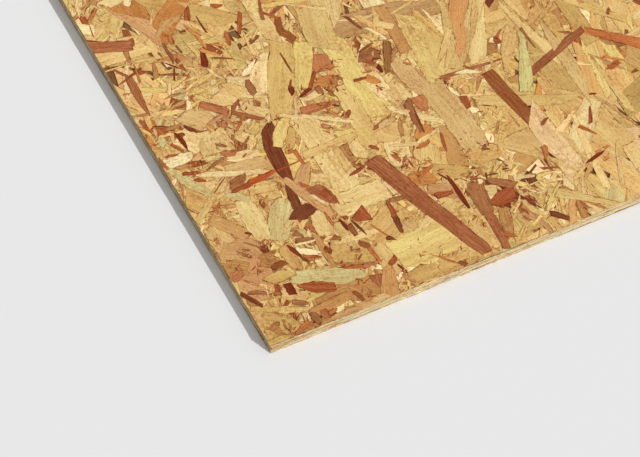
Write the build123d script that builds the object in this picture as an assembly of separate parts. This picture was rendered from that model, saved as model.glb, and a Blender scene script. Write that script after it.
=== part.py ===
"""A square-edged OSB panel: one board of flat wood strands pressed with resin, sawn to size.

The board lies flat on its underside. The origin is at the middle of the underside, +Z is up
through the thickness, +X runs along the length, which is the way most face strands lie, and +Y
runs across the width. All lengths are in millimetres.
"""

import os

from build123d import *

# The sawn size of the board
PANEL_LENGTH = 2500.0
PANEL_WIDTH = 1250.0
PANEL_THICKNESS = 12.0


def sawn_outline():
    """The board seen from above: four straight saw cuts that meet in sharp, square corners."""
    return Rectangle(PANEL_LENGTH, PANEL_WIDTH)


def osb_panel():
    """The pressed board, as thick all over as the gap that the press closes to."""
    return extrude(sawn_outline(), amount=PANEL_THICKNESS)


def write_parts():
    """Write the board as one solid, because its strands are bonded into a single piece."""
    os.makedirs("parts", exist_ok=True)
    export_step(osb_panel(), "parts/osb_panel.step")


write_parts()
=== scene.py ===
"""The looks of one OSB panel: a bed of thin wood strands, pressed flat and sawn square.

Every side of the board is a field of separate strands, each a thin closed plate with its own
outline, tone and grain. Lengths are in metres, in the frame of the loaded model.
"""

import math
from types import SimpleNamespace as Record

import bpy
import numpy as np
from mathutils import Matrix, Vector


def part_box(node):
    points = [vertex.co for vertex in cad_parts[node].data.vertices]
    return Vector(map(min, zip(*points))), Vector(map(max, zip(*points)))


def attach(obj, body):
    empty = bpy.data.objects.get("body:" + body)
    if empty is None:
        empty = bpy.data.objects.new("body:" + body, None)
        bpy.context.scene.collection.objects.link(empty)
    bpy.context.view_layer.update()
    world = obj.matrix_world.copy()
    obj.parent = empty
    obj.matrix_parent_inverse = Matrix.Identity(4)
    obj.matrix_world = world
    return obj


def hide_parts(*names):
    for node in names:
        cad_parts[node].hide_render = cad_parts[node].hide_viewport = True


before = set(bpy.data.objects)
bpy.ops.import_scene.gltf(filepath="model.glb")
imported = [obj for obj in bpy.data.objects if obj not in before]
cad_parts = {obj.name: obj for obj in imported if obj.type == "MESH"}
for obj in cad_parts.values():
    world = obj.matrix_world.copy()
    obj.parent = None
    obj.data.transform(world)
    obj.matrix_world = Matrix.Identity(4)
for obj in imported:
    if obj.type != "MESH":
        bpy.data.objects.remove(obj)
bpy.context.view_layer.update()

MM = 0.001

BOARD = "osb_panel"
BODY = "root"
board_low, board_high = (np.array(corner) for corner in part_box(BOARD))
LENGTH, WIDTH, THICKNESS = board_high - board_low
X_LOW, Y_LOW, Z_LOW = board_low
X_HIGH, Y_HIGH, Z_HIGH = board_high

# The photograph's view: its frame, where the board's near top corner is in it, and the scale there
IMAGE_WIDTH_PX = 640
IMAGE_HEIGHT_PX = 457
CORNER_X_PX = 270.3
CORNER_Y_PX = 346.2
METRES_PER_PX = 0.918 * MM
VIEW_AZIMUTH = math.radians(63.44)
VIEW_ELEVATION = math.radians(52.9)
LENS_MM = 200.0
SENSOR_MM = 36.0

# The sun comes over the near short edge, from the viewer's right
SUN_AZIMUTH = VIEW_AZIMUTH - math.radians(41.3)
SUN_ELEVATION = math.radians(26.5)
SUN_ANGLE = math.radians(0.9)
SUN_STRENGTH = 3.46
SKY_STRENGTH = 0.575
BACKDROP_GREY = 0.78
FLOOR_GREY = 0.85
FLOOR_ROUGHNESS = 0.9
FLOOR_SPAN = 60.0

# The least depth of a strand, and how far the strands of a sawn edge keep from the edge's outline
CLEARANCE = 0.01 * MM
EDGE_MARGIN = 0.3 * MM
# How deep the broad faces' beds start, and the gap between them and the sawn edges' beds
FACE_BED_DEPTH = 1.3 * MM
BED_GAP = 0.1 * MM

# Tones of the wood, as 8-bit sRGB
TONES = {
    "milk": (248, 224, 166), "cream": (246, 217, 158), "ivory": (237, 202, 139),
    "butter": (230, 194, 114), "straw": (232, 194, 126), "lemon": (228, 187, 115),
    "yellow": (222, 180, 110), "gold": (214, 168, 98), "honey": (206, 152, 88),
    "khaki": (214, 176, 102), "olive": (206, 164, 94), "sage": (213, 187, 122),
    "sand": (218, 176, 112), "tan": (206, 154, 98), "blush": (206, 146, 94),
    "hazel": (188, 132, 74), "apricot": (206, 134, 68), "copper": (186, 106, 54),
    "rose": (190, 116, 70), "rosewood": (165, 95, 54), "brick": (162, 80, 39),
    "vermilion": (186, 82, 34), "oxblood": (122, 44, 14), "mauve": (164, 102, 58),
    "brown": (160, 104, 56), "russet": (146, 80, 38), "maroon": (121, 59, 28),
    "umber": (80, 42, 16), "biscuit": (204, 186, 141), "putty": (193, 175, 132),
    "drab": (181, 163, 122), "cork": (156, 130, 92),
}
FACE_TONE_SHARES = {
    "cream": 0.03, "ivory": 0.06, "butter": 0.05, "straw": 0.1, "lemon": 0.18,
    "yellow": 0.2, "gold": 0.16, "honey": 0.07, "olive": 0.04, "sage": 0.015,
    "tan": 0.03, "hazel": 0.02, "apricot": 0.01, "mauve": 0.008, "rosewood": 0.014,
    "brick": 0.008, "maroon": 0.006,
}
NARROW_TONE_SHARES = FACE_TONE_SHARES | {
    "apricot": 0.03, "copper": 0.04, "mauve": 0.03, "rosewood": 0.09,
    "brick": 0.07, "russet": 0.05, "maroon": 0.04,
}
SLIVER_TONE_SHARES = {
    "cream": 0.03, "ivory": 0.1, "butter": 0.12, "straw": 0.16, "lemon": 0.2,
    "yellow": 0.15, "gold": 0.12, "tan": 0.06, "hazel": 0.06,
}
CHIP_TONE_SHARES = {
    "hazel": 0.06, "apricot": 0.12, "copper": 0.2, "rosewood": 0.14, "brick": 0.18,
    "russet": 0.14, "oxblood": 0.1, "maroon": 0.06,
}
CRUMB_TONE_SHARES = {
    "ivory": 0.1, "butter": 0.12, "hazel": 0.14, "apricot": 0.1, "copper": 0.2,
    "brick": 0.14, "russet": 0.12, "maroon": 0.08,
}
FRAGMENT_TONE_SHARES = {
    "honey": 0.14, "hazel": 0.14, "apricot": 0.12, "copper": 0.2, "rosewood": 0.12,
    "brick": 0.12, "russet": 0.1, "maroon": 0.06,
}
EDGE_TONE_SHARES = {
    "biscuit": 0.3, "putty": 0.36, "drab": 0.24, "cork": 0.05, "russet": 0.01,
}
# The dark tones of the voids' painted shade
VOID_SHADE_TONE_SHARES = {"umber": 0.6, "russet": 0.4}
# The strands' walls lean to this tone: partly the duller cut wood of their sides, partly painted light,
# darker than pale strands as dark lines between them and paler than dark ones as pale rims
WALL_TONE_AND_SHADE = "cork"
WALL_SHARE = 0.7

# How far strands of one tone differ: in lightness, and in hue as a share of that
TONE_SPREAD = 0.07
CORNER_TONE_SPREAD = 0.03
HUE_SPREAD_SHARE = 0.4
# The sRGB curve: its largest number, its straight start and the power that follows
SRGB_MOST = 255.0
SRGB_STRAIGHT_END = 0.04045
SRGB_STRAIGHT_SLOPE = 12.92
SRGB_OFFSET = 0.055
SRGB_POWER = 2.4

# The wood's noises along the grain: length and width in millimetres, detail, and their place in the noise
GRAIN_NOISES = {
    "bands": (70.0, 3.4, 3.0, 0.0),
    "streaks": (22.0, 0.9, 3.0, 7.0),
    "fibres": (5.0, 0.28, 2.0, 13.0),
    "blotch": (14.0, 6.0, 2.0, 31.0),
    "flecks": (2.8, 0.8, 2.0, 77.0),
    "cracks": (9.0, 0.5, 1.0, 59.0),
    "drift": (60.0, 18.0, 1.0, 43.0),
    # The last two place the painted shade along a strand's rim
    "line_gaps": (9.0, 9.0, 2.0, 91.0),
    "breaks": (6.0, 2.6, 3.0, 17.0),
}
# How far each of them stains the wood: two levels of the noise, and the stain at each, paler below 0
GRAIN_STAINS = {
    "bands": (0.38, 0.68, -0.12, 0.04),
    "streaks": (0.3, 0.7, -0.1, 0.06),
    "fibres": (0.3, 0.7, -0.06, 0.06),
    "drift": (0.3, 0.7, -0.09, 0.07),
    "blotch": (0.5, 0.75, 0.0, 0.1),
    "flecks": (0.54, 0.68, -0.02, 0.5),
    "cracks": (0.67, 0.75, 0.0, 0.75),
}
# The other ramps of the wood: two levels of what goes in, and what comes out at each, or else 0 and 1
RAMPS = {
    "smear": (0.46, 0.62),
    "dark_wood": (0.06, 0.3, 1.0, 0.0),
    "dark_wood_streaks": (0.35, 0.65, -0.3, 0.16),
    # The next five ramps shape the painted shade along a strand's rim: its line, the gaps in it, its breaks,
    # and how much narrow strands take
    "line": (0.0, 0.7, 1.0, 0.0),
    "line_gaps": (0.42, 0.6),
    "breaks_reach": (0.46, 0.72, 0.0, 2.4),
    "breaks_rim": (0.0, 0.4),
    "rim_shade_by_width": (0.5, 2.5, 0.3, 1.0),
    "crack_depth": (0.66, 0.76, 0.0, 0.8),
    "roughness": (0.2, 0.8, 0.55, 0.75),
}
# The two noises, in size and detail, that make smears of resin across the strands where both are high
SMEAR_NOISES = ((45 * MM, 2.0), (3.5 * MM, 4.0))
SMEAR_STAIN = 0.28
# Painted shade along the rim of a strand, where the gaps between strands fall dark: its thin line, its
# breaks, and how near the far side and the ends seem to it
RIM_LINE_SHADE = 0.8
RIM_BREAKS_SHADE = 0.65
FAR_SIDE_SCALE = 1.4
END_SCALE = 0.8
# How many times a darkening, from stains or from the painted shade on the rims, that halves the red halves
# the red, green and blue of the wood
STAIN_AND_SHADE_DEPTHS = (1.0, 1.75, 2.15)
SEED_REACH = 613.0
NOISE_ROUGHNESS = 0.55
STREAK_HEIGHT_SHARE = 0.6
FIBRE_HEIGHT_SHARE = 0.3
BUMP_STRENGTH = 0.6
BUMP_DISTANCE = 0.15 * MM
SPECULAR = 0.2
# The sockets of a Mix node for colours
MIX_FACTOR, MIX_ONE, MIX_OTHER, MIX_RESULT = 0, 6, 7, 2

# Half widths at six stations along a strand, as shares of its half width
OUTLINE_SHARES = {
    "square": (0.85, 0.97, 1.0, 1.0, 0.97, 0.85),
    "point": (0.85, 0.97, 1.0, 0.8, 0.3, 0.05),
    "lens": (0.05, 0.4, 1.0, 1.0, 0.4, 0.05),
    "wedge": (0.85, 1.0, 0.82, 0.64, 0.46, 0.36),
}
ANY_OUTLINE = ("square", "wedge", "point", "lens")
BLUNT_END_SHARE = 0.8
# How uneven the two sides of a strand are: a share of its half width, and a size
RAGGED_SHARE = 0.04
RAGGED_SIZE = 0.22 * MM
LEAST_WIDTH_SHARE = 0.06
# How strands lie: how far they tilt and droop at their ends, and as shares of their length or width, how
# far they bend, how slantwise their ends are cut and how much more one side tapers than the other
TILT_ALONG = 0.1 * MM
TILT_ACROSS = 0.05 * MM
MOST_DROOP = 0.12 * MM
BEND_SHARE = 0.012
SLANT_SHARE = 0.3
CORNER_DROOP = 0.02 * MM
CORNER_BEND_SHARE = 0.006
CORNER_SLANT_SHARE = 0.12
CORNER_SKEW_SHARE = 0.7
# A strand shows where at least this much of it is in view
LEAST_SEEN_SHARE = 0.35
# The shortest run of a strand's side that its sawn ends are worked out from
LEAST_RUN = 1e-9
FIRST_SEED = 11


def strand_sort(**settings):
    """A sort of strand, with any outline, in no heaps and all over its side where it doesn't say so."""
    usual = {"stations": 4, "outlines": ANY_OUTLINE, "band_shares": (0, 1), "heap": 0, "heap_reach": 0}
    return Record(**(usual | settings))


# The sorts of strand on a broad face: how many times over they cover it, how they are cut, what share lies
# along the grain and how far they stray from it, and how many lie together in a heap that is so far across
BROAD = strand_sort(
    cover=4.2, length=(70 * MM, 160 * MM), width=(14 * MM, 40 * MM), stations=8, aligned_share=0.7,
    spread=0.4, relief_shares=(0.12, 1.0), tones=FACE_TONE_SHARES,
    outlines=("square", "square", "wedge", "point"),
)
NARROW = strand_sort(
    cover=1.05, length=(30 * MM, 120 * MM), width=(4 * MM, 16 * MM), stations=8, aligned_share=0.6,
    spread=0.5, relief_shares=(0.03, 0.75), tones=NARROW_TONE_SHARES, heap=4, heap_reach=45 * MM,
)
SLIVER = strand_sort(
    cover=0.42, length=(12 * MM, 55 * MM), width=(2 * MM, 9 * MM), stations=5, aligned_share=0.4,
    spread=0.6, relief_shares=(0.0, 0.5), tones=SLIVER_TONE_SHARES, heap=14, heap_reach=32 * MM,
)
CHIP = strand_sort(
    cover=0.13, length=(5 * MM, 34 * MM), width=(1.5 * MM, 8 * MM), aligned_share=0.4, spread=0.6,
    relief_shares=(0.0, 0.45), tones=CHIP_TONE_SHARES, heap=5, heap_reach=24 * MM,
)
FACE_SORTS = (BROAD, NARROW, SLIVER, CHIP)

# The broken bits among the listed strands, over the corner alone
SPLINTER = strand_sort(
    cover=1.1, length=(8 * MM, 34 * MM), width=(1.5 * MM, 6 * MM), stations=6, aligned_share=0.3,
    spread=0.7, relief_shares=(0.43, 0.68), tones=SLIVER_TONE_SHARES,
)
CRUMB = strand_sort(
    cover=0.03, length=(1.5 * MM, 8 * MM), width=(0.5 * MM, 1.5 * MM), aligned_share=0.3, spread=0.7,
    relief_shares=(0.26, 0.48), tones=CRUMB_TONE_SHARES, outlines=("square", "wedge", "lens"),
    heap=16, heap_reach=8 * MM,
)
PATCH_SORTS = (SPLINTER, CRUMB)
FRAGMENT = strand_sort(
    length=(2.5 * MM, 11 * MM), width=(0.5 * MM, 2.2 * MM), aligned_share=0.2, spread=0.8,
    relief_shares=(0.02, 0.26), tones=FRAGMENT_TONE_SHARES,
)

# What a saw cut shows: strands cut lengthwise show long, and strands cut across show short
CUT = dict(
    cover=2.4, width=(0.6 * MM, 1.3 * MM), aligned_share=1.0, relief_shares=(0.0, 0.7),
    tones=EDGE_TONE_SHARES,
)
LONG_CUT = strand_sort(length=(30 * MM, 130 * MM), spread=0.006, outlines=("square", "point", "lens"), **CUT)
SHORT_CUT = strand_sort(length=(9 * MM, 36 * MM), spread=0.03, outlines=("square", "lens"), **CUT)
# Painted shade of the voids in a sawn edge: dark strips that lie level with the cut, standing in for holes
# that would fall dark
VOID_SHADE = strand_sort(
    cover=0.02, length=(2 * MM, 12 * MM), width=(0.25 * MM, 0.8 * MM), aligned_share=1.0, spread=0.05,
    relief_shares=(0.0, 0.02), tones=VOID_SHADE_TONE_SHARES, outlines=("lens", "point"),
)
FACE_LAYER_SHARE = 0.27
OUTER_BAND_SHARES = ((0, FACE_LAYER_SHARE), (1 - FACE_LAYER_SHARE, 1))
CORE_BAND_SHARES = ((FACE_LAYER_SHARE, 1 - FACE_LAYER_SHARE),)


def in_bands(sort, bands):
    """The same sort of strand, kept to each of some bands of a side's height."""
    return tuple(Record(**(vars(sort) | {"band_shares": band})) for band in bands)


LONG_EDGE_SORTS = in_bands(LONG_CUT, OUTER_BAND_SHARES) + in_bands(SHORT_CUT, CORE_BAND_SHARES) + (VOID_SHADE,)
SHORT_EDGE_SORTS = in_bands(SHORT_CUT, OUTER_BAND_SHARES) + in_bands(LONG_CUT, CORE_BAND_SHARES) + (VOID_SHADE,)

# The near corner's strands, listed one by one from the lowest to the topmost: where it starts and where
# it ends, in millimetres from the corner along the short edge and the long edge, its width at its start,
# middle and end, and its tone
CORNER_STRANDS_MM = (
    # Broad pale strands that lie lowest
    (-5, 2, 24, 1, 6, 9, 7, "olive"), (20, 1, 66, 2, 5, 8, 6, "hazel"),
    (62, 2, 112, 3, 6, 10, 7, "tan"), (-6, 101, 8, 92, 9, 12, 8, "tan"),
    (2, 112, 42, 98, 26, 30, 26, "tan"), (6, 94, 40, 72, 20, 26, 22, "blush"),
    (0, 34, 26, 0, 24, 34, 26, "olive"), (0, 10, 24, 12, 16, 22, 16, "hazel"),
    (150, 9, 226, 10, 18, 22, 18, "gold"), (86, 40, 122, 8, 30, 34, 26, "hazel"),
    (60, 25, 106, 24, 10, 14, 12, "hazel"), (98, 74, 134, 56, 26, 30, 26, "gold"),
    (140, 62, 186, 82, 40, 44, 36, "gold"), (108, 122, 104, 90, 10, 18, 14, "straw"),
    (120, 100, 124, 60, 14, 16, 12, "yellow"), (140, 60, 144, 20, 12, 18, 14, "yellow"),
    (12, 150, 14, 112, 20, 24, 18, "sand"), (14, 158, 38, 122, 12, 15, 11, "honey"),
    (50, 164, 50, 110, 14, 21, 13, "straw"), (0, 120, 30, 102, 22, 26, 18, "tan"),
    (24, 124, 44, 98, 14, 18, 12, "tan"), (20, 96, 34, 82, 14, 18, 12, "blush"),
    (32, 96, 50, 82, 14, 16, 12, "hazel"), (0, 102, 24, 86, 14, 18, 12, "hazel"),
    (2, 76, 22, 54, 14, 18, 12, "tan"), (86, 148, 60, 106, 15, 24, 15, "sage"),
    (60, 168, 88, 162, 20, 24, 18, "yellow"), (4, 198, 20, 164, 14, 20, 14, "gold"),
    (40, 179, 58, 162, 7, 10, 7, "sage"), (20, 196, 44, 186, 12, 16, 12, "straw"),
    (52, 200, 92, 196, 16, 20, 14, "sand"), (78, 240, 92, 224, 10, 14, 10, "straw"),
    (60, 216, 90, 208, 8, 12, 8, "ivory"), (50, 258, 48, 226, 15, 18, 16, "straw"),
    (64, 252, 66, 224, 16, 18, 14, "straw"), (76, 240, 98, 262, 14, 18, 12, "sand"),
    (30, 262, 46, 240, 22, 26, 20, "ivory"), (44, 284, 62, 262, 20, 24, 20, "sand"),
    (84, 292, 100, 276, 20, 26, 18, "straw"), (100, 296, 128, 280, 24, 28, 24, "ivory"),
    (104, 270, 116, 246, 14, 18, 12, "straw"), (100, 300, 108, 276, 10, 14, 10, "lemon"),
    (122, 276, 146, 310, 16, 22, 16, "ivory"), (126, 236, 172, 324, 21, 27, 26, "khaki"),
    (147, 232, 146, 128, 27, 26, 25, "straw"), (197, 248, 192, 166, 18, 20, 16, "lemon"),
    (215, 322, 215, 196, 27, 26, 24, "butter"), (228, 250, 232, 208, 16, 18, 14, "ivory"),
    (241, 228, 246, 203, 16, 18, 14, "straw"), (182, 196, 186, 172, 30, 34, 26, "butter"),
    (206, 186, 222, 164, 22, 28, 20, "yellow"), (212, 164, 206, 134, 20, 24, 18, "ivory"),
    (238, 148, 222, 108, 20, 26, 18, "yellow"), (276, 262, 290, 222, 18, 20, 14, "straw"),
    (257, 254, 268, 204, 14, 20, 16, "sand"), (276, 212, 281, 118, 24, 29, 26, "sand"),
    (262, 160, 254, 104, 6, 16, 18, "honey"), (236, 62, 238, 6, 17, 19, 16, "yellow"),
    (226, 84, 224, 60, 17, 19, 14, "yellow"), (226, 117, 258, 98, 12, 17, 12, "gold"),
    (202, 114, 227, 109, 14, 18, 13, "apricot"), (214, 98, 242, 78, 12, 16, 12, "tan"),
    (266, 112, 298, 108, 14, 18, 14, "gold"), (131, 118, 180, 116, 24, 27, 25, "straw"),
    (150, 38, 214, 42, 33, 42, 38, "butter"), (126, 186, 184, 187, 9, 10, 8, "lemon"),
    (108, 166, 136, 152, 7, 12, 9, "straw"), (124, 178, 106, 150, 8, 14, 10, "tan"),
    (175, 181, 177, 158, 12, 14, 10, "straw"), (160, 184, 158, 152, 9, 11, 9, "lemon"),
    (182, 125, 187, 104, 7, 9, 7, "ivory"), (126, 124, 130, 104, 7, 9, 7, "straw"),
    (133, 227, 119, 199, 4, 10, 6, "gold"), (53, 60, 114, 35, 13, 21, 9, "sage"),
    (2, 46, 52, 20, 6, 8, 6, "yellow"), (136, 38, 124, -2, 6, 16, 20, "honey"),
    (62, 99, 62, 67, 12, 13, 8, "honey"), (94, 96, 93, 54, 6, 7, 5, "honey"),
    (30, 68, 56, 68, 10, 13, 9, "olive"), (36, 50, 56, 34, 12, 14, 10, "sand"),
    (106, 80, 150, 74, 5, 9, 6, "straw"), (176, 74, 182, 60, 9, 12, 10, "sand"),
    (186, 60, 201, 67, 9, 12, 9, "straw"), (262, 70, 272, 66, 14, 16, 12, "straw"),
    (268, 46, 258, 14, 10, 12, 9, "hazel"), (0, 158, 48, 197, 6, 8, 4, "yellow"),
    (17, 214, 88, 184, 4, 8, 5, "ivory"),
    # Darker strands, chips and slivers over them
    (195, 293, 192, 271, 15, 19, 20, "rose"), (184, 273, 203, 279, 1.4, 1.8, 1.2, "brick"),
    (178, 264, 197, 254, 10, 14, 10, "apricot"), (155, 252, 170, 258, 2, 4, 4, "oxblood"),
    (168, 257, 183, 275, 4, 4, 3, "brick"), (163, 260, 189, 314, 13, 18, 18, "butter"),
    (148, 235, 188, 232, 11, 9, 2, "rose"), (156, 246, 178, 250, 6, 8, 7, "ivory"),
    (176, 257, 176, 245, 6, 7, 5, "mauve"), (178, 231, 185, 225, 1, 2.4, 1.4, "maroon"),
    (184, 208, 191, 217, 2, 5, 3, "brick"), (164, 222, 172, 217, 1, 2, 1, "brick"),
    (182, 245, 186, 238, 2, 3, 1, "brown"), (127, 242, 188, 203, 4, 6, 5, "ivory"),
    (153, 269, 151, 258, 4, 6, 3, "oxblood"), (158, 276, 150, 265, 1, 3, 2, "russet"),
    (162.5, 311, 162, 283, 1.6, 2.2, 1.4, "russet"), (118, 295, 117.5, 275, 4, 8, 6, "mauve"),
    (116, 268, 114, 260, 5, 7, 5, "brown"), (112, 228, 118, 236, 8, 7, 2, "maroon"),
    (108, 236, 98, 160, 9, 17, 5, "maroon"), (98, 165, 93, 132, 5, 9, 9, "maroon"),
    (86, 121, 108, 130, 12, 17, 10, "maroon"), (95, 174, 119, 108, 4, 10, 5, "tan"),
    (131, 236, 104, 203, 10, 13, 6, "butter"), (48, 183, 68, 188, 8, 12, 3, "mauve"),
    (46, 177, 68, 178, 4, 6, 6, "brick"), (64, 179, 96, 181, 6, 7, 2, "vermilion"),
    (94, 181, 122, 182.5, 1.4, 1.5, 1, "vermilion"), (121.5, 196, 122, 176, 4, 4, 3, "copper"),
    (118, 198, 116, 194, 8, 9, 8, "copper"), (117, 149, 130, 121, 13, 14, 4, "rosewood"),
    (122, 144, 127, 128, 6, 8, 4, "brick"), (107, 159, 115, 148, 1, 4, 3, "copper"),
    (112, 142, 118, 126, 3, 3, 1.5, "cream"), (125, 166, 134, 160, 3, 4, 1.5, "hazel"),
    (166, 181, 162.5, 149, 10, 6, 0.8, "hazel"), (155, 144.5, 174, 148, 2, 4, 2, "brick"),
    (183, 154, 231, 6, 17, 18, 13, "rosewood"), (141.5, 104, 143.5, 90, 17, 17, 13, "brick"),
    (127.5, 93, 129, 78, 6, 6, 4, "russet"), (132, 97, 137.5, 75, 1, 3, 1, "maroon"),
    (123, 103, 124.5, 87, 1, 4, 2, "oxblood"), (108, 87, 114, 81, 3, 5, 4, "brown"),
    (126, 70, 134, 61, 4, 7, 4, "russet"), (132, 62, 135.5, 40, 4, 4, 2, "copper"),
    (101, 50, 120, 43, 2, 5, 5, "copper"), (116, 43, 138, 41, 5, 4, 1, "rose"),
    (101, 49, 103, 58, 5, 4, 2, "brick"), (141, 33, 151, 40, 4, 6, 4, "brick"),
    (148, 31, 151.5, 19, 1, 3, 2, "oxblood"), (123, 30, 121.5, 17, 12, 9, 2, "rosewood"),
    (126, 36, 125.5, 29, 1, 3, 2, "copper"), (45, 57.5, 45, 43, 8, 8.4, 7.4, "oxblood"),
    (53, 49, 84, 33, 2, 13, 9, "brick"), (29, 267, 31.5, 242, 1, 5, 1, "oxblood"),
    (29.5, 261, 36, 261, 4, 5.5, 3, "brick"), (39, 270, 48, 257, 2, 5, 2, "maroon"),
    (46, 258, 57, 255, 2, 2, 1, "russet"), (65, 288, 86, 266, 8, 10, 8, "rose"),
    (69, 289, 86, 271, 1, 1.6, 1, "russet"), (61, 261, 79, 265, 3, 5, 4, "tan"),
    (88, 264, 112, 243, 4, 6, 3, "rosewood"), (91, 263, 97, 250, 3, 6, 5, "brown"),
    (70, 258, 78, 252, 5, 7, 4, "rose"), (4, 235, 32, 235, 13, 13.5, 10, "milk"),
    (3, 231, 26, 183, 5, 12, 7, "sage"), (6, 244, 23, 240, 1, 3, 1, "copper"),
    (19, 255, 26, 242, 3, 4, 2, "copper"), (10, 226, 24, 224, 2, 6, 4, "honey"),
    (22, 227, 40, 222, 1.5, 3.6, 1.5, "brick"), (25, 222, 41, 219, 2, 3, 1.5, "russet"),
    (11, 218, 30, 211, 3, 4.6, 2, "brick"), (19, 207, 30, 200, 2, 5, 2, "brick"),
    (1, 246, 3, 228, 1.4, 3, 1.4, "copper"), (56, 223, 70, 217, 4, 7, 4, "rose"),
    (36, 211, 57, 218, 1.5, 4, 3, "brown"), (57, 236, 66, 229, 2, 4, 1.5, "brown"),
    (82, 241, 99, 258, 1, 3, 1, "copper"), (80, 222, 91, 231, 1, 3, 1, "brown"),
    (74, 210, 79, 213, 2, 2.4, 1, "copper"), (30, 183, 48, 196, 1, 1.6, 1, "brown"),
    (22, 161, 30, 172, 2, 3, 1, "copper"), (66, 157, 66, 147, 3, 5, 3, "russet"),
    (36, 128, 41, 124, 2, 2.6, 2, "maroon"), (44, 107, 44, 98, 8, 8, 5, "maroon"),
    (30, 119, 44, 103, 1, 2, 2, "brown"), (20, 112, 27, 99, 1, 3, 2, "brown"),
    (40, 79, 55.5, 80.5, 5, 8, 7, "russet"), (0, 84, 14, 88, 8, 11, 5, "rose"),
    (1, 67, 14, 44, 5, 4.6, 4, "maroon"), (8, 64, 24, 56, 3, 5, 3, "mauve"),
    (29, 52, 35, 50, 4, 5, 4, "brown"), (50.5, 18, 54, 2, 5, 8, 5, "brown"),
    (-5, 3, 22, 2, 6, 9, 6, "olive"), (52, 16, 93, 20, 10, 12, 9, "hazel"),
    (107, 3, 125, 4, 7, 9, 7, "sand"), (61, 18, 61, 5, 5, 8, 5, "rosewood"),
    (64, 8, 74, 12, 4, 5, 3, "copper"), (27, 2, 46, 8, 1, 6, 7, "copper"),
    (40, 36, 53, 28, 5, 7, 2, "brown"), (97, 22, 101, 8, 3, 5, 3, "russet"),
    (70, 88, 89, 75, 7, 8, 4, "milk"), (72, 94, 92, 90.5, 2, 3, 1.5, "cream"),
    (65, 97, 71, 79, 1.5, 4.6, 2, "oxblood"), (70.5, 79, 76, 68, 2, 3, 1.4, "maroon"),
    (73, 79, 88, 70, 2, 4, 2, "copper"), (74, 98, 91, 94, 6, 5, 2, "mauve"),
    (78, 108, 80, 100, 6, 8, 4, "mauve"), (74, 70, 86, 67, 1.4, 3, 1.4, "cream"),
    (95, 79, 99, 71, 5, 6, 4, "russet"), (114, 117, 114.5, 98, 1.5, 3, 2, "copper"),
    (174, 102, 171, 80, 2, 5, 5, "brick"), (171, 84, 169, 62, 6, 5.4, 3, "maroon"),
    (152, 63, 160, 59, 3, 5, 1.5, "maroon"), (146, 84, 156, 62, 1, 2, 1, "copper"),
    (175, 101, 193, 97, 5, 5, 2, "mauve"), (188, 169, 195, 161, 2, 4, 2, "brick"),
    (200.5, 184, 226, 189, 2, 8, 5, "sand"), (202, 187, 222, 192.5, 0.8, 1.2, 0.8, "copper"),
    (201, 183.5, 209, 187.5, 1, 3.4, 1, "brick"), (229, 186, 222, 165, 2, 5, 3, "hazel"),
    (211, 247, 225, 245, 4, 4, 2, "brick"), (223, 252, 233, 250, 1, 2, 1, "copper"),
    (224, 246, 232, 234, 8, 9, 5, "apricot"), (232, 151, 250, 166, 6, 16, 9, "apricot"),
    (256, 202, 258, 183, 14, 13, 4, "rose"), (224, 204, 266, 163, 5, 8, 6, "ivory"),
    (245, 202, 240.5, 153, 9, 7, 3, "mauve"), (247, 194, 242, 154, 1.5, 2.6, 1, "maroon"),
    (205, 161, 232, 150, 2, 5, 5, "straw"), (230, 150, 259, 158, 5, 5, 2, "straw"),
    (227, 145, 243, 147, 1, 5, 1, "copper"), (251, 129, 257, 152, 1, 3, 1.6, "brick"),
    (229, 272, 250, 267, 13, 16, 8, "mauve"), (232, 277, 250, 282, 2, 3, 1.5, "russet"),
    (238, 264, 247, 261, 2, 3, 2, "maroon"), (233, 264, 240, 258, 3, 5, 3, "brick"),
    (241, 258, 245, 259, 2, 4, 2, "cream"), (240.5, 254, 241, 244, 4, 4, 2, "oxblood"),
    (263, 278, 246, 240, 8, 8, 4, "brown"), (247, 245, 252, 236, 3, 3, 1, "brown"),
    (297, 183, 296, 167, 7, 7, 5, "brick"), (212, 115, 232, 121, 6, 5, 1.5, "copper"),
    (203, 150, 207, 138, 2, 5, 2, "copper"), (216, 86, 234, 85, 8, 7, 3, "brick"),
    (238, 104, 238.6, 59, 1.5, 5, 2.4, "oxblood"), (231, 110, 237, 98, 0.8, 2, 1, "oxblood"),
    (257, 85, 250, 46, 14, 17, 12, "mauve"), (253, 50, 249, 1, 8, 10, 6, "rosewood"),
    (262, 51, 287, 60, 14, 17, 12, "brick"), (272, 50, 274, 42, 6, 5, 1, "oxblood"),
    (270, 81, 291, 64, 5, 9, 7, "mauve"), (268, 87, 283, 84, 0.7, 1.5, 0.7, "maroon"),
    (272.5, 90, 269.5, 82, 1.2, 1.8, 0.8, "maroon"), (264, 86, 262, 80, 3, 5, 3, "cream"),
    (252, 18, 263, 11, 3, 5, 2, "copper"), (200, 8, 206, 1, 3, 5, 3, "russet"),
    (184, 24, 200, 5, 1, 2, 1, "copper"),
)
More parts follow.
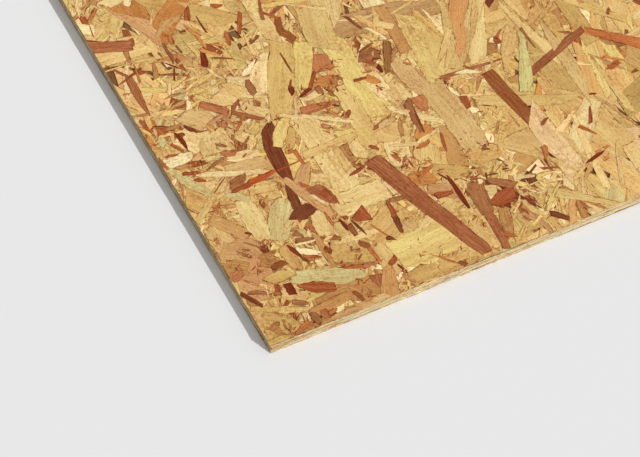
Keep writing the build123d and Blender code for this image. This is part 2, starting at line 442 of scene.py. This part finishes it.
# Where the near corner has heaps of dark fragments, in millimetres along its two edges as above, and how
# far across each heap is
CORNER_HEAPS_MM = (
    (246, 77, 5), (256, 92, 8), (238, 46, 3), (241, 37, 3), (275, 47, 5), (84, 86, 5), (36, 19, 3),
    (25, 9, 3), (46, 92, 6), (101, 53, 2), (204, 5, 4), (66, 153, 4), (33, 166, 3), (22, 163, 5),
    (44, 108, 6), (25, 107, 6), (90, 163, 4), (212, 134, 8), (216, 113, 8), (198, 258, 8),
    (189, 248, 5), (198, 275, 5), (236, 262, 5), (245, 272, 6), (186, 212, 5), (172, 229, 7),
    (126, 236, 4), (115, 202, 5), (160, 208, 4), (8, 132, 5), (105, 27, 6), (110, 12, 5), (148, 22, 4),
    (190, 20, 5), (255, 15, 5), (290, 205, 5), (292, 88, 5), (60, 296, 4), (72, 256, 4), (87, 248, 5),
    (30, 222, 5), (24, 212, 4), (77, 70, 5), (229, 228, 3), (266, 244, 3), (287, 118, 5), (233, 112, 5),
    (228, 125, 5), (12, 92, 5), (30, 84, 5), (207, 150, 5), (120, 60, 6), (64, 163, 6), (76, 224, 4),
    (84, 252, 4),
)
HEAP_REACH_PER_FRAGMENT = 2.0
LEAST_IN_HEAP = 2
HEAP_SPREAD_SHARE = 0.5
CORNER_SHALLOWEST = 0.02 * MM
CORNER_DEEPEST = 0.36 * MM
CORNER_STATIONS = 13
# Strewn strands that reach this round patch by the corner, with this share of their length, lie under the
# listed ones. The patch's own broken bits are strewn over a rectangle of the face.
PATCH_CENTRE = (LENGTH - 120 * MM, 118 * MM)
PATCH_RADIUS = 200 * MM
STRAND_REACH_SHARE = 0.3
PATCH_SINK = 0.38 * MM
PATCH_SLIVER_SINK = 0.3 * MM
PATCH_REACH = 300 * MM
PATCH_SHARES = ((1 - PATCH_REACH / LENGTH, 0), (1, PATCH_REACH / WIDTH))


def linear(tone):
    """A tone's 8-bit sRGB as linear light."""
    c = np.array(tone) / SRGB_MOST
    curve = ((c + SRGB_OFFSET) / (1 + SRGB_OFFSET)) ** SRGB_POWER
    return np.where(c <= SRGB_STRAIGHT_END, c / SRGB_STRAIGHT_SLOPE, curve)


def side(name, origin, along, up, span, **settings):
    """A flat side of the board: a rectangle that is span wide and high, seen from outside."""
    place = dict(origin=origin, along=along, up=up, span=span, outward=np.cross(along, up))
    return Record(name=name, **{key: np.array(value, float) for key, value in place.items()}, **settings)


def on_side(field, across, up, depth):
    """Points of a side, given by place and by depth under its surface, in the board's frame."""
    return (
        field.origin
        + across[..., None] * field.along
        + up[..., None] * field.up
        - depth[..., None] * field.outward
    )


# For a side: how deep its strands lie, how far they lean, its tiles, its bed of solid wood with a colour in
# linear light, the cells of the grid that finds which strands show, the least area of a strand that has
# to, and how far past the side strands are strewn
FACE = dict(
    sorts=FACE_SORTS, relief=0.75 * MM, lean_share=1.0, thickness=0.6 * MM, tiles=(4, 2),
    span=(LENGTH, WIDTH), bed_depth=FACE_BED_DEPTH, bed_end=THICKNESS / 2, bed_inset=1.0 * MM,
    bed_colour=(0.2, 0.085, 0.028), cell=np.array([1.25 * MM, 1.25 * MM]), least_seen=12 * MM * MM,
    overhang=np.array([45 * MM, 45 * MM]),
)
EDGE = dict(
    up=(0, 0, 1), relief=0.22 * MM, lean_share=0.1, thickness=0.3 * MM, bed_depth=0.22 * MM,
    bed_end=1.5 * MM, bed_inset=FACE_BED_DEPTH + BED_GAP, bed_colour=(0.38, 0.29, 0.165),
    cell=np.array([1.5 * MM, 0.15 * MM]), least_seen=1.5 * MM * MM, overhang=np.array([20 * MM, 0.0]),
)
CUT_LOW = Z_LOW + EDGE_MARGIN
CUT_HEIGHT = THICKNESS - 2 * EDGE_MARGIN
LONG_EDGE = EDGE | dict(sorts=LONG_EDGE_SORTS, tiles=(4, 1), span=(LENGTH, CUT_HEIGHT))
SHORT_EDGE = EDGE | dict(sorts=SHORT_EDGE_SORTS, tiles=(2, 1), span=(WIDTH, CUT_HEIGHT))

TOP = side("top", (X_LOW, Y_LOW, Z_HIGH), (1, 0, 0), (0, 1, 0), **FACE)
UNDERSIDE = side("underside", (X_LOW, Y_HIGH, Z_LOW), (1, 0, 0), (0, -1, 0), **FACE)
EDGES = (
    side("near_long_edge", (X_LOW, Y_LOW, CUT_LOW), (1, 0, 0), **LONG_EDGE),
    side("far_long_edge", (X_HIGH, Y_HIGH, CUT_LOW), (-1, 0, 0), **LONG_EDGE),
    side("near_short_edge", (X_HIGH, Y_LOW, CUT_LOW), (0, 1, 0), **SHORT_EDGE),
    side("far_short_edge", (X_LOW, Y_HIGH, CUT_LOW), (0, -1, 0), **SHORT_EDGE),
)


def off_tone(rng, colour, spread):
    """Colours each a little lighter or darker, and warmer or cooler, than their tone."""
    colour = colour * np.exp(rng.normal(0, spread, (len(colour), 1)))
    return colour * np.exp(rng.normal(0, HUE_SPREAD_SHARE * spread, colour.shape))


def draw_tones(rng, count, shares):
    """A linear colour for each strand, from the tones by their shares."""
    names = list(shares)
    odds = np.array([shares[name] for name in names])
    table = np.array([linear(TONES[name]) for name in names])
    return off_tone(rng, table[rng.choice(len(names), count, p=odds / odds.sum())], TONE_SPREAD)


def stations_of(count):
    """That many places along a strand, from 0 to 1, closer together towards its ends."""
    return (1 - np.cos(np.pi * np.arange(count) / (count - 1))) / 2


def read_between(table, place):
    """Rows of a table of values at the stations, read at other places along each row."""
    stations = stations_of(table.shape[-1])
    i = np.clip(np.searchsorted(stations, place, side="right") - 1, 0, len(stations) - 2)
    share = (place - stations[i]) / (stations[i + 1] - stations[i])
    low, high = np.take_along_axis(table, i, -1), np.take_along_axis(table, i + 1, -1)
    return low + (high - low) * share


def strewn(rng, field, sort, low_shares=(0, 0), high_shares=(1, 1)):
    """The middles of one sort's strands, strewn over a part of a side and a little past it."""
    bottom_share = max(low_shares[1], sort.band_shares[0])
    top_share = min(high_shares[1], sort.band_shares[1])
    low = field.span * (low_shares[0], bottom_share) - field.overhang
    high = field.span * (high_shares[0], top_share) + field.overhang
    count = int(sort.cover * (high - low).prod() / (np.mean(sort.length) * np.mean(sort.width)))
    if not sort.heap:
        return rng.uniform(low, high, (count, 2))
    heaps = rng.uniform(low, high, (count // sort.heap + 1, 2))
    return heaps[rng.integers(0, len(heaps), count)] + rng.normal(0, sort.heap_reach, (count, 2))


def heaped_in_corner(rng):
    """The middles of the fragments in the near corner's heaps."""
    middles = []
    for p, q, reach in CORNER_HEAPS_MM:
        count = int((reach / HEAP_REACH_PER_FRAGMENT) ** 2) + LEAST_IN_HEAP
        off = rng.normal(0, HEAP_SPREAD_SHARE * reach, (count, 2)) * MM
        middles.append((LENGTH - q * MM, p * MM) + off)
    return np.concatenate(middles)


def uneven_sides(rng, width, profile, skew):
    """How far each side of a strand is from its middle line, as shares of half its width.

    A skew of 1 or -1 leaves one side straight, and the other takes the whole taper.
    """
    lean = skew[:, None] * (1 - profile)
    sides = np.stack([profile + lean, profile - lean], 1)
    sides += rng.normal(0, 1, sides.shape) * (RAGGED_SHARE + RAGGED_SIZE / width)[:, None, None]
    short = np.maximum(LEAST_WIDTH_SHARE - sides.sum(1, keepdims=True), 0.0)
    return sides + short / 2


def draw_strands(rng, field, sort, centre):
    """Strands of one sort with the given middles."""
    count = len(centre)
    stray = rng.random(count) > sort.aligned_share
    any_angle = rng.uniform(-math.pi / 2, math.pi / 2, count)
    angle = np.where(stray, any_angle, rng.normal(0, sort.spread, count))
    kinds = np.array([OUTLINE_SHARES[name] for name in sort.outlines])
    outlines = kinds[rng.integers(0, len(kinds), count)]
    turned = rng.random(count) < 0.5
    outlines[turned] = outlines[turned, ::-1]
    profile = read_between(outlines, np.tile(stations_of(sort.stations), (count, 1)))
    width = rng.uniform(*sort.width, count)
    length = rng.triangular(sort.length[0], np.mean(sort.length), sort.length[1], count)
    return Record(
        centre=centre,
        angle=angle,
        length=length,
        width=width,
        depth=CLEARANCE + field.relief * rng.uniform(*sort.relief_shares, count),
        tilt_along=field.lean_share * rng.normal(0, TILT_ALONG, count) / length,
        tilt_across=field.lean_share * rng.normal(0, TILT_ACROSS, count) / width,
        droop=field.lean_share * rng.uniform(0.0, MOST_DROOP, count),
        bend=field.lean_share * rng.normal(0, BEND_SHARE, count) * length,
        slant=rng.normal(0, SLANT_SHARE, (count, 2)) * width[:, None],
        sides=uneven_sides(rng, width, profile, rng.uniform(-1, 1, count)),
        colour=draw_tones(rng, count, sort.tones),
        seed=rng.random(count),
    )


def corner_strands(rng, field):
    """The listed strands of the near corner."""
    *numbers, tones = zip(*CORNER_STRANDS_MM)
    start_p, start_q, end_p, end_q, *widths = np.array(numbers) * MM
    start = np.stack([LENGTH - start_q, start_p], -1)
    end = np.stack([LENGTH - end_q, end_p], -1)
    run = end - start
    count = len(run)
    at = stations_of(CORNER_STATIONS)
    # The curve through the three widths
    first, middle, last = (width[:, None] for width in widths)
    width = first * (1 - at) * (1 - 2 * at) + middle * 4 * at * (1 - at) + last * at * (2 * at - 1)
    width[:, [0, -1]] *= BLUNT_END_SHARE
    most = width.max(1)
    length = np.hypot(*run.T)
    colour = np.array([linear(TONES[tone]) for tone in tones])
    return Record(
        centre=(start + end) / 2,
        angle=np.arctan2(run[:, 1], run[:, 0]),
        length=length,
        width=most,
        depth=np.linspace(CORNER_DEEPEST, CORNER_SHALLOWEST, count),
        tilt_along=np.zeros(count),
        tilt_across=np.zeros(count),
        droop=np.full(count, CORNER_DROOP),
        bend=rng.normal(0, CORNER_BEND_SHARE, count) * length,
        slant=rng.normal(0, CORNER_SLANT_SHARE, (count, 2)) * most[:, None],
        sides=uneven_sides(
            rng, most, width / most[:, None], rng.uniform(-CORNER_SKEW_SHARE, CORNER_SKEW_SHARE, count)
        ),
        colour=off_tone(rng, colour, CORNER_TONE_SPREAD),
        seed=rng.random(count),
    )


def sink_under_corner(strands, sink):
    """Push strewn strands that reach the patch of listed strands below it."""
    off = np.hypot(*(strands.centre - PATCH_CENTRE).T)
    strands.depth += np.where(off < PATCH_RADIUS + STRAND_REACH_SHARE * strands.length, sink, 0.0)


def inside_stretch(start, end, span):
    """The first and last place, from 0 to 1, at which each straight side of a strand is on the board."""
    run = end - start
    run = np.where(np.abs(run) < LEAST_RUN, LEAST_RUN, run)
    one, other = -start / run, (span - start) / run
    enter = np.clip(np.minimum(one, other).max(-1), 0, 1)
    leave = np.clip(np.maximum(one, other).min(-1), 0, 1)
    missed = enter >= leave
    return np.where(missed, 0.0, enter), np.where(missed, 1.0, leave)


def shape_strands(strands, field):
    """Corner places of the strands, with their grain coordinates, sawn off at the side's outline."""
    s = strands
    stations = stations_of(s.sides.shape[-1])
    u_axis = np.stack([np.cos(s.angle), np.sin(s.angle)], -1)
    v_axis = np.stack([-np.sin(s.angle), np.cos(s.angle)], -1)
    sign = np.array([1.0, -1.0])
    half = s.width[:, None] / 2
    edge = s.centre[:, None] + v_axis[:, None] * (sign * half)[..., None]
    slant = s.slant[:, None] * sign[None, :, None]
    start = edge + u_axis[:, None] * (slant[..., :1] - s.length[:, None, None] / 2)
    end = edge + u_axis[:, None] * (slant[..., 1:] + s.length[:, None, None] / 2)
    enter, leave = inside_stretch(start, end, field.span)
    place = enter[..., None] + (leave - enter)[..., None] * stations
    profile = read_between(s.sides, place)
    bow = s.bend[:, None, None] * (1 - (2 * place - 1) ** 2)
    off = sign[None, :, None] * half[..., None] * (profile - 1) + bow
    straight = start[:, :, None] + (end - start)[:, :, None] * place[..., None]
    corner = np.clip(straight + v_axis[:, None, None] * off[..., None], 0, field.span)
    from_centre = corner - s.centre[:, None, None]
    u = (from_centre * u_axis[:, None, None]).sum(-1)
    v = (from_centre * v_axis[:, None, None]).sum(-1)
    middle_v = v.mean(1, keepdims=True)
    width_here = np.abs(v[:, :1] - v[:, 1:]) / 2 + np.zeros_like(v)
    end_drop = s.droop[:, None, None] * (2 * place - 1) ** 4
    depth = s.depth[:, None, None] + s.tilt_along[:, None, None] * u
    depth = depth + s.tilt_across[:, None, None] * v + end_drop
    end = np.minimum(place, 1 - place) * s.length[:, None, None]
    grain = np.stack([u, v - middle_v, width_here, end], -1)
    return Record(corner=corner, depth=np.maximum(depth, CLEARANCE), grain=grain)


def strand_faces(stations):
    """The triangles of one closed strand: its underside and walls, and then its top.

    Its corners are a left and a right one at each station, and then the four under its two ends.
    """
    last = stations - 1
    middle = 2 * (last // 2)
    start, end = 2 * stations, 2 * stations + 2
    walls = [(start, end, end + 1), (start, end + 1, start + 1)]
    walls += [(0, start, start + 1), (0, start + 1, 1)]
    walls += [(2 * last + 1, end + 1, end), (2 * last + 1, end, 2 * last)]
    walls += [(middle, end, start), (middle + 1, start + 1, end + 1)]
    above = []
    for left in range(0, 2 * last, 2):
        right, next_left, next_right = left + 1, left + 2, left + 3
        under = start if left < middle else end
        walls += [(next_left, under, left), (right, under + 1, next_right)]
        above += [(right, next_right, next_left), (right, next_left, left)]
    return np.array(walls), np.array(above)


def seen_strands(batches, field):
    """Which strands show, going down from the topmost, where each has enough of itself in view."""
    cell = field.cell
    cells = np.ceil(field.span / cell).astype(int)
    covered = np.zeros(cells, bool)
    keep = [np.zeros(len(batch.depth), bool) for batch in batches]
    order = [(depth, b, i) for b, batch in enumerate(batches) for i, depth in enumerate(batch.depth)]
    for _, b, i in sorted(order):
        s = batches[b]
        cos, sin = math.cos(s.angle[i]), math.sin(s.angle[i])
        length, width = s.length[i], s.width[i]
        reach = np.array([abs(cos) * length + abs(sin) * width, abs(sin) * length + abs(cos) * width]) / 2
        low = np.clip(((s.centre[i] - reach) / cell).astype(int), 0, cells)
        high = np.clip(((s.centre[i] + reach) / cell).astype(int) + 1, low, cells)
        x, y = ((np.arange(low[k], high[k]) + 0.5) * cell[k] - s.centre[i, k] for k in (0, 1))
        u = x[:, None] * cos + y * sin
        v = y * cos - x[:, None] * sin
        place = u / length + 0.5
        knots = stations_of(s.sides.shape[-1])
        v = v - s.bend[i] * (1 - (2 * place - 1) ** 2)
        left, right = (width / 2 * np.interp(place, knots, edge) for edge in s.sides[i])
        inside = (np.abs(place - 0.5) < 0.5) & (v < left) & (v > -right)
        window = covered[low[0] : high[0], low[1] : high[1]]
        fresh = (inside & ~window).sum() * cell.prod()
        if fresh >= min(field.least_seen, LEAST_SEEN_SHARE * length * width):
            keep[b][i] = True
            window |= inside
    return keep


def chosen(strands, keep):
    """The strands that a mask picks."""
    return Record(**{name: value[keep] for name, value in vars(strands).items()})


def strand_part(strands, field):
    """Points, faces and attributes of closed strands."""
    shape = shape_strands(strands, field)
    count, _, stations = shape.depth.shape
    ends = [0, -1]
    corner = shape.corner.transpose(0, 2, 1, 3)
    above = shape.depth.transpose(0, 2, 1)
    grain = shape.grain.transpose(0, 2, 1, 3)
    place = np.concatenate([corner, corner[:, ends]], 1)
    depth = np.concatenate([above, above[:, ends] + field.thickness], 1)
    points = on_side(field, place[..., 0], place[..., 1], depth)
    walls, tops = strand_faces(stations)
    per_strand = 2 * stations + 4
    faces = (np.arange(count) * per_strand)[:, None, None] + np.concatenate([walls, tops])
    # Walls mostly in the wall tone: partly cut wood, partly painted shade and painted highlight along the
    # strands' edges
    wall_colour_and_shade = WALL_SHARE * linear(TONES[WALL_TONE_AND_SHADE]) + (1 - WALL_SHARE) * strands.colour
    colour = np.repeat(np.stack([wall_colour_and_shade, strands.colour], 1), (len(walls), len(tops)), 1)
    return Record(
        points=points.reshape(-1, 3),
        faces=faces.reshape(-1, 3),
        grain=np.concatenate([grain, grain[:, ends]], 1).reshape(-1, 4),
        colour=colour.reshape(-1, 3),
        seed=np.repeat(strands.seed, per_strand),
        rank=np.repeat(strands.depth, len(walls) + len(tops)),
    )


def bed_part(field, low, high):
    """The pressed wood under the strands of one tile, as a closed slab inside the sawn outline."""
    low = np.maximum(low, field.bed_inset)
    high = np.minimum(high, field.span - field.bed_inset)
    x = np.array([low[0], high[0], high[0], low[0]])
    y = np.array([low[1], low[1], high[1], high[1]])
    levels = [on_side(field, x, y, np.full(4, depth)) for depth in (field.bed_depth, field.bed_end)]
    quads = [(0, 1, 2, 3), (7, 6, 5, 4), (0, 4, 5, 1), (1, 5, 6, 2), (2, 6, 7, 3), (3, 7, 4, 0)]
    faces = np.array([half for a, b, c, d in quads for half in ((a, b, c), (a, c, d))])
    far_in = np.full(4, field.span.max())
    place = np.stack([x, y, far_in, far_in], -1)
    return Record(
        points=np.concatenate(levels),
        faces=faces,
        grain=np.concatenate([place, place]),
        colour=np.tile(field.bed_colour, (len(faces), 1)),
        seed=np.zeros(2 * len(x)),
        rank=np.full(len(faces), field.bed_end),
    )


def wood_mesh(name, parts, field):
    """One mesh from the parts, each with its points, grain and seed, and its faces, their colour and rank.

    The bake's map lays the piece out as seen from outside, and the faces nearest the surface come last.
    """
    start = 0
    for part in parts:
        part.faces += start
        start += len(part.points)
    whole = Record(**{key: np.concatenate([vars(part)[key] for part in parts]) for key in vars(parts[0])})
    order = np.argsort(-whole.rank, kind="stable")
    faces = whole.faces[order]
    colour = whole.colour[order]
    place = whole.grain / MM
    mesh = bpy.data.meshes.new(name)
    mesh.from_pydata(whole.points.tolist(), [], faces.tolist())
    for title, kind, domain, unit, values in (
        ("grain", "FLOAT_VECTOR", "POINT", "vector", place[:, :3]),
        ("end", "FLOAT", "POINT", "value", place[:, 3]),
        ("tone", "FLOAT_COLOR", "FACE", "color", np.c_[colour, np.ones(len(colour))]),
        ("seed", "FLOAT", "POINT", "value", whole.seed),
    ):
        mesh.attributes.new(title, kind, domain).data.foreach_set(unit, values.ravel())
    flat = (whole.points - field.origin) @ np.stack([field.along, field.up], -1)
    low, high = flat.min(0), flat.max(0)
    layer = mesh.uv_layers.new(name="OFBake")
    layer.uv.foreach_set("vector", ((flat - low) / (high - low))[faces.ravel()].ravel())
    mesh.update()
    return mesh


def add_object(name, data):
    """A new object in the scene."""
    thing = bpy.data.objects.new(name, data)
    bpy.context.scene.collection.objects.link(thing)
    return thing


def add_piece(mesh, material):
    """A piece of the board, riding with it and standing for its solid."""
    piece = add_object(mesh.name, mesh)
    mesh.materials.append(material)
    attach(piece, BODY)
    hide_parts(BOARD)


def build_side(field, seed, material):
    """A side of the board, in tiles of strands over a bed."""
    rng = np.random.default_rng(seed)
    batches = [draw_strands(rng, field, sort, strewn(rng, field, sort)) for sort in field.sorts]
    if field is TOP:
        for batch, sort in zip(batches, field.sorts):
            sink_under_corner(batch, PATCH_SLIVER_SINK if sort is SLIVER else PATCH_SINK)
        for sort in PATCH_SORTS:
            batches.append(draw_strands(rng, field, sort, strewn(rng, field, sort, *PATCH_SHARES)))
        batches.append(draw_strands(rng, field, FRAGMENT, heaped_in_corner(rng)))
        batches.append(corner_strands(rng, field))
    keep = seen_strands(batches, field)
    batches = [chosen(batch, mask) for batch, mask in zip(batches, keep)]
    tile = field.span / field.tiles
    for i, j in np.ndindex(field.tiles):
        low = tile * (i, j)
        parts = [bed_part(field, low, low + tile)]
        for batch in batches:
            own = (np.clip(batch.centre // tile, 0, np.array(field.tiles) - 1) == (i, j)).all(-1)
            parts.append(strand_part(chosen(batch, own), field))
        add_piece(wood_mesh(f"{field.name}_strands_{i + 1}_{j + 1}", parts, field), material)


class Nodes:
    """Short calls that build the node tree of a material or a world."""

    def __init__(self, owner):
        self.owner = owner
        owner.use_nodes = True
        self.tree = owner.node_tree
        self.tree.nodes.clear()

    def add(self, kind, inputs=None, **settings):
        node = self.tree.nodes.new("ShaderNode" + kind)
        for key, value in settings.items():
            setattr(node, key, value)
        for key, value in (inputs or {}).items():
            self.feed(node.inputs[key], value)
        return node

    def feed(self, socket, value):
        if isinstance(value, bpy.types.NodeSocket):
            self.tree.links.new(value, socket)
        else:
            socket.default_value = value

    def math(self, operation, *values):
        return self.add("Math", dict(enumerate(values)), operation=operation).outputs[0]

    def ramp(self, value, low, high, to_low=0.0, to_high=1.0):
        levels = dict(enumerate((value, low, high, to_low, to_high)))
        return self.add("MapRange", levels, interpolation_type="SMOOTHSTEP").outputs[0]

    def noise(self, u, v, w, detail):
        place = self.add("CombineXYZ", {"X": u, "Y": v, "Z": w})
        inputs = {"Vector": place.outputs[0], "Scale": 1.0, "Detail": detail, "Roughness": NOISE_ROUGHNESS}
        return self.add("TexNoise", inputs, noise_dimensions="3D").outputs["Fac"]


def wood_material():
    """Strand wood: growth bands and fibres along each strand, resin stains, flecks, cracks, and painted
    shade along the strands' broken rims.

    Everything that darkens the wood, the painted shade included, adds to one darkening, and it turns the
    wood redder as it darkens it.
    """
    n = Nodes(bpy.data.materials.new("strand_wood"))
    grain, tone, seed, end = (
        n.add("Attribute", attribute_name=name).outputs[output]
        for name, output in (("grain", "Vector"), ("tone", "Color"), ("seed", "Fac"), ("end", "Fac"))
    )
    u, v, half = n.add("SeparateXYZ", {"Vector": grain}).outputs
    far = n.math("MULTIPLY", seed, SEED_REACH)
    place = n.add("TexCoord").outputs["Object"]
    x, y, z = n.add("SeparateXYZ", {"Vector": place}).outputs

    def along(length, width, detail, offset):
        """Noise drawn out along the grain."""
        w = n.math("ADD", far, offset)
        return n.noise(n.math("DIVIDE", u, length), n.math("DIVIDE", v, width), w, detail)

    def across(size, detail):
        """Noise that runs across the strands."""
        return n.noise(*(n.math("DIVIDE", value, size) for value in (x, y, z)), detail)

    noises = {name: along(*sizes) for name, sizes in GRAIN_NOISES.items()}
    smeared = n.math("MULTIPLY", *(n.ramp(across(*sizes), *RAMPS["smear"]) for sizes in SMEAR_NOISES))
    green = n.add("SeparateColor", {"Color": tone}).outputs["Green"]
    dark_wood = n.ramp(green, *RAMPS["dark_wood"])

    # Painted shade along a strand's rim, in places: a thin line, and breaks that reach further in
    near_side = n.math("SUBTRACT", half, v)
    far_side = n.math("MULTIPLY", n.math("ADD", half, v), FAR_SIDE_SCALE)
    inward = n.math("MINIMUM", near_side, far_side)
    inward = n.math("MINIMUM", inward, n.math("MULTIPLY", end, END_SCALE))
    line_gaps = n.ramp(noises["line_gaps"], *RAMPS["line_gaps"])
    line = n.math("MULTIPLY", n.ramp(inward, *RAMPS["line"]), line_gaps)
    breaks_reach = n.ramp(noises["breaks"], *RAMPS["breaks_reach"])
    breaks = n.ramp(n.math("SUBTRACT", breaks_reach, inward), *RAMPS["breaks_rim"])
    rim_shade = n.math("ADD", n.math("MULTIPLY", line, RIM_LINE_SHADE), n.math("MULTIPLY", breaks, RIM_BREAKS_SHADE))

    marks = [n.ramp(noises[name], *levels) for name, levels in GRAIN_STAINS.items()]
    marks.append(n.math("MULTIPLY", dark_wood, n.ramp(noises["streaks"], *RAMPS["dark_wood_streaks"])))
    marks.append(n.math("MULTIPLY", smeared, SMEAR_STAIN))
    # Painted shade along the rims, less on narrow strands
    marks.append(n.math("MULTIPLY", rim_shade, n.ramp(half, *RAMPS["rim_shade_by_width"])))
    stain_and_shade = marks[0]
    for mark in marks[1:]:
        stain_and_shade = n.math("ADD", stain_and_shade, mark)
    kept = [n.math("POWER", 0.5, n.math("MULTIPLY", stain_and_shade, depth)) for depth in STAIN_AND_SHADE_DEPTHS]
    veil = n.add("CombineColor", dict(zip(("Red", "Green", "Blue"), kept)))
    stained_and_shaded = {MIX_FACTOR: 1.0, MIX_ONE: tone, MIX_OTHER: veil.outputs[0]}
    colour = n.add("Mix", stained_and_shaded, data_type="RGBA", blend_type="MULTIPLY").outputs[MIX_RESULT]

    streak_height = n.math("MULTIPLY", noises["streaks"], STREAK_HEIGHT_SHARE)
    height = n.math("ADD", streak_height, n.math("MULTIPLY", noises["fibres"], FIBRE_HEIGHT_SHARE))
    height = n.math("SUBTRACT", height, n.ramp(noises["cracks"], *RAMPS["crack_depth"]))
    bump = n.add("Bump", {"Strength": BUMP_STRENGTH, "Distance": BUMP_DISTANCE, "Height": height})
    shader = n.add("BsdfPrincipled", {"Base Color": colour, "Normal": bump.outputs[0]})
    n.feed(shader.inputs["Roughness"], n.ramp(noises["streaks"], *RAMPS["roughness"]))
    n.feed(shader.inputs["Specular IOR Level"], SPECULAR)
    n.add("OutputMaterial", {"Surface": shader.outputs[0]})
    return n.owner


def plain_material(name, grey, roughness):
    """A plain surface for the stage."""
    n = Nodes(bpy.data.materials.new(name))
    shader = n.add("BsdfPrincipled", {"Base Color": (grey, grey, grey, 1.0), "Roughness": roughness})
    n.add("OutputMaterial", {"Surface": shader.outputs[0]})
    return n.owner


def build_stage():
    """A pale floor that the board lies on."""
    reach = FLOOR_SPAN / 2
    mesh = bpy.data.meshes.new("floor")
    turns = ((-1, -1), (1, -1), (1, 1), (-1, 1))
    mesh.from_pydata([(x * reach, y * reach, Z_LOW) for x, y in turns], [], [(0, 1, 2, 3)])
    mesh.materials.append(plain_material("floor_white", FLOOR_GREY, FLOOR_ROUGHNESS))
    floor = add_object("floor", mesh)


def build_lights():
    """One low sun with a crisp shadow, and an even pale sky."""
    lamp = bpy.data.lights.new("sun", "SUN")
    lamp.energy = SUN_STRENGTH
    lamp.angle = SUN_ANGLE
    sun = add_object("sun", lamp)
    sun.rotation_euler = (math.pi / 2 - SUN_ELEVATION, 0.0, SUN_AZIMUTH + math.pi / 2)
    n = Nodes(bpy.data.worlds.new("sky"))
    path = n.add("LightPath")
    lit = n.add("Background", {"Strength": SKY_STRENGTH})
    seen = n.add("Background", {"Color": (BACKDROP_GREY, BACKDROP_GREY, BACKDROP_GREY, 1.0)})
    inputs = (path.outputs["Is Camera Ray"], lit.outputs[0], seen.outputs[0])
    mix = n.add("MixShader", dict(enumerate(inputs)))
    n.add("OutputWorld", {"Surface": mix.outputs[0]})
    bpy.context.scene.world = n.owner


def build_camera():
    """The photograph's view: the near top corner of the board falls on its own pixel."""
    focal_px = IMAGE_WIDTH_PX * LENS_MM / SENSOR_MM
    distance = focal_px * METRES_PER_PX
    level = math.cos(VIEW_ELEVATION)
    forward = np.array(
        [-math.sin(VIEW_AZIMUTH) * level, math.cos(VIEW_AZIMUTH) * level, -math.sin(VIEW_ELEVATION)]
    )
    right = np.array([math.cos(VIEW_AZIMUTH), math.sin(VIEW_AZIMUTH), 0.0])
    up = np.cross(right, forward)
    corner = np.array([X_HIGH, Y_LOW, Z_HIGH])
    right_off = (CORNER_X_PX - IMAGE_WIDTH_PX / 2) * METRES_PER_PX
    down_off = (CORNER_Y_PX - IMAGE_HEIGHT_PX / 2) * METRES_PER_PX
    camera = bpy.data.cameras.new("camera")
    camera.lens = LENS_MM
    camera.sensor_width = SENSOR_MM
    camera.clip_end = 2 * FLOOR_SPAN
    viewer = add_object("camera", camera)
    viewer.location = corner - forward * distance - right * right_off + up * down_off
    viewer.rotation_euler = (math.pi / 2 - VIEW_ELEVATION, 0.0, VIEW_AZIMUTH)
    bpy.context.scene.camera = viewer


bpy.context.scene.view_settings.view_transform = "Standard"
wood = wood_material()
for number, field in enumerate((TOP, UNDERSIDE, *EDGES)):
    build_side(field, FIRST_SEED + number, wood)
build_stage()
build_lights()
build_camera()
